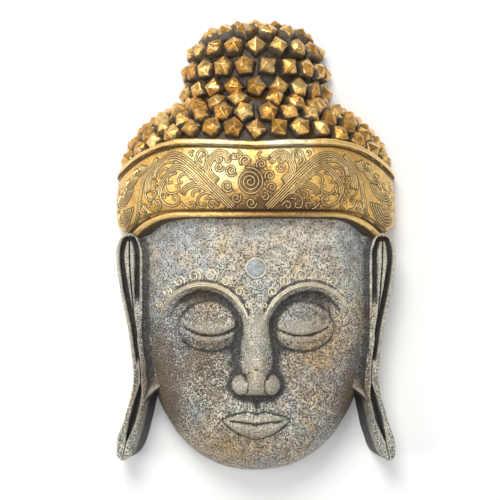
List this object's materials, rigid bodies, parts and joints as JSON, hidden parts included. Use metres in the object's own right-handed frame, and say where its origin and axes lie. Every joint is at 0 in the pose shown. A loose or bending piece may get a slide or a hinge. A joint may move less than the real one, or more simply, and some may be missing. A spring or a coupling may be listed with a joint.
{
  "type": "buddha wall mask",
  "caption": "Carved wooden wall mask of a calm face with closed eyes, long ear lobes, a wide scrolled headband and a tall topknot of pointed curls.",
  "frame": {"origin": "middle of the mask's outline, on its flat back", "axes": "+Z out of the face, +Y to the top of the head, +X to the right of someone who looks at the face"},
  "size_m": [0.3206, 0.5159, 0.1237],
  "materials": {
    "silver_crackle": "crackled silver-grey paint over gold, worn and waxed",
    "antique_gold": "rubbed antique gold, dark in the grooves",
    "slate_gold_tips": "dark slate paint with gold rubbed on the tips"
  },
  "bodies": {
    "root": {"buddha_mask": "silver_crackle"}
  },
  "joints": []
}
